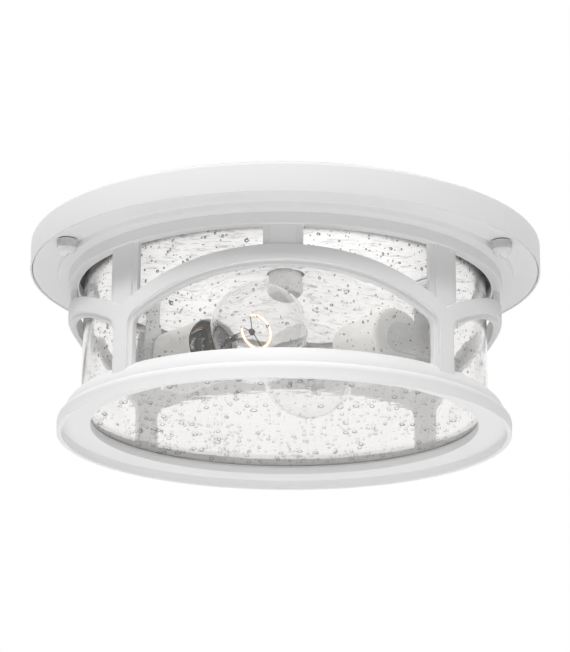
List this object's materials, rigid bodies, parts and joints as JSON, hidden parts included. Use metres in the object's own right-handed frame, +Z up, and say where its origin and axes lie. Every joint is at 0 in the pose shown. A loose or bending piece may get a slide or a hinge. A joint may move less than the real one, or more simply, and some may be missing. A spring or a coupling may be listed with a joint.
{
  "type": "flush-mount outdoor ceiling light",
  "caption": "White flush-mount outdoor ceiling light: seeded-glass drum in an arched cage, held under a round ceiling pan by thumb knobs, with clear screw-base bulbs inside.",
  "frame": {"origin": "centre of the junction-box screw pattern on the crossbar's top face, in the plane of the ceiling", "axes": "+Z up into the ceiling, the light hangs along -Z, -Y is the pictured front with an arch crown towards the viewer"},
  "size_m": [0.324, 0.324, 0.1256],
  "materials": {
    "white_powder_coat": "satin",
    "zinc_plated_steel": "satin",
    "green_screw": "satin",
    "white_foam": "matte",
    "dark_rubber": "matte",
    "clear_silicone": "satin",
    "foil_faced_pad": "crinkled foil",
    "seeded_glass": "gloss, with seeds",
    "white_enamel": "gloss",
    "dark_phenolic": "satin",
    "brass": "satin",
    "clear_bulb_glass": "gloss",
    "bulb_cap_aluminium": "satin",
    "black_glass": "gloss",
    "solder": "dull",
    "tungsten": "dull"
  },
  "bodies": {
    "pan": {"crossbar": "zinc_plated_steel", "ground_screw": "green_screw", "ceiling_pan": "white_powder_coat", "ceiling_gasket": "white_foam", "nipple": "zinc_plated_steel", "locknut": "zinc_plated_steel", "hub_cap": "white_powder_coat", "heat_pad": "foil_faced_pad", "cover_studs": "zinc_plated_steel", "stud_spacers": "zinc_plated_steel", "foot_screws": "zinc_plated_steel", "cup_screws": "zinc_plated_steel", "lamp_bracket_1": "zinc_plated_steel", "lampholder_cup_1": "white_enamel", "lampholder_core_1": "dark_phenolic", "screw_shell_1": "brass", "centre_contact_1": "brass", "lamp_bracket_2": "zinc_plated_steel", "lampholder_cup_2": "white_enamel", "lampholder_core_2": "dark_phenolic", "screw_shell_2": "brass", "centre_contact_2": "brass"},
    "cage": {"cage_flange": "white_powder_coat", "flange_screws": "zinc_plated_steel", "clip_screws": "zinc_plated_steel", "glass_clips": "zinc_plated_steel", "cage_frame": "white_powder_coat", "glass_seat": "clear_silicone", "glass_drum": "seeded_glass", "knob_washer_1": "dark_rubber", "knob_washer_2": "dark_rubber", "knob_washer_3": "dark_rubber"},
    "knob_1": {"knob_1": "white_powder_coat"},
    "knob_2": {"knob_2": "white_powder_coat"},
    "knob_3": {"knob_3": "white_powder_coat"},
    "bulb_1": {"bulb_glass_1": "clear_bulb_glass", "bulb_cap_1": "bulb_cap_aluminium", "bulb_insulator_1": "black_glass", "bulb_tip_1": "solder", "bulb_stem_1": "clear_bulb_glass", "bulb_filament_1": "tungsten"},
    "bulb_2": {"bulb_glass_2": "clear_bulb_glass", "bulb_cap_2": "bulb_cap_aluminium", "bulb_insulator_2": "black_glass", "bulb_tip_2": "solder", "bulb_stem_2": "clear_bulb_glass", "bulb_filament_2": "tungsten"}
  },
  "joints": [
    {"name": "cage_drop", "type": "slide", "parent": "pan", "child": "cage", "axis": [0, 0, -1], "range_m": [0, 0.1]},
    {"name": "knob_turn_1", "type": "hinge", "parent": "cage", "child": "knob_1", "pos_m": [0, 0.1526, -0.0212], "axis": [0, 0, -1], "range_deg": [0, 1800]},
    {"name": "knob_turn_2", "type": "hinge", "parent": "cage", "child": "knob_2", "pos_m": [-0.13215, -0.0763, -0.0212], "axis": [0, 0, -1], "range_deg": [0, 1800]},
    {"name": "knob_turn_3", "type": "hinge", "parent": "cage", "child": "knob_3", "pos_m": [0.13215, -0.0763, -0.0212], "axis": [0, 0, -1], "range_deg": [0, 1800]},
    {"name": "bulb_unscrew_1", "type": "hinge", "parent": "pan", "child": "bulb_1", "pos_m": [-0.04489, -0.00495, -0.068], "axis": [0.6293, -0.7771, 0], "range_deg": [0, 1800]},
    {"name": "bulb_unscrew_2", "type": "hinge", "parent": "pan", "child": "bulb_2", "pos_m": [0.04489, 0.00495, -0.068], "axis": [-0.6293, 0.7771, 0], "range_deg": [0, 1800]}
  ]
}
